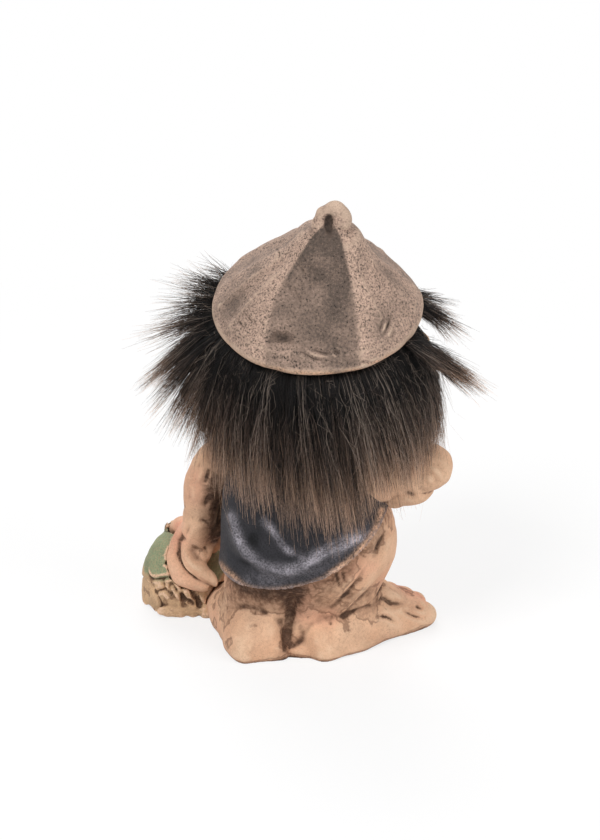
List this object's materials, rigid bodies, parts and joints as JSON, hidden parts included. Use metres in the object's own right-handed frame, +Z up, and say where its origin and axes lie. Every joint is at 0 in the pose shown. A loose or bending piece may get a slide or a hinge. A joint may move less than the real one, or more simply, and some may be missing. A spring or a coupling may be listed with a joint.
{
  "type": "troll figure",
  "caption": "Painted folk-tale troll figure with a pointed cap with a curled tip, long fur hair, a dark tunic, bare feet and a hand on a mossy stump.",
  "frame": {"origin": "on the floor, at the middle of the felt disc under the soles", "axes": "+Z up, +Y towards the figure's back, +X towards the figure's left hand"},
  "size_m": [0.1016, 0.0859, 0.1485],
  "materials": {
    "skin_paint": "matte",
    "tunic_paint": "matte",
    "hat_paint": "matte",
    "stump_paint": "matte",
    "eye_bead": "gloss",
    "fur_pile": "matte",
    "fur_backing": "matte",
    "glue": "satin",
    "felt": "matte"
  },
  "bodies": {
    "root": {"body": "skin_paint", "tunic": "tunic_paint", "left_arm": "skin_paint", "right_arm": "skin_paint", "head": "skin_paint", "left_eye": "eye_bead", "right_eye": "eye_bead", "hat": "hat_paint", "hat_glue": "glue", "hair_band": "fur_backing", "hair_back": "fur_pile", "hair_left": "fur_pile", "hair_right": "fur_pile", "hair_fringe": "fur_pile", "stump": "stump_paint", "sole_pad": "felt"}
  },
  "joints": []
}
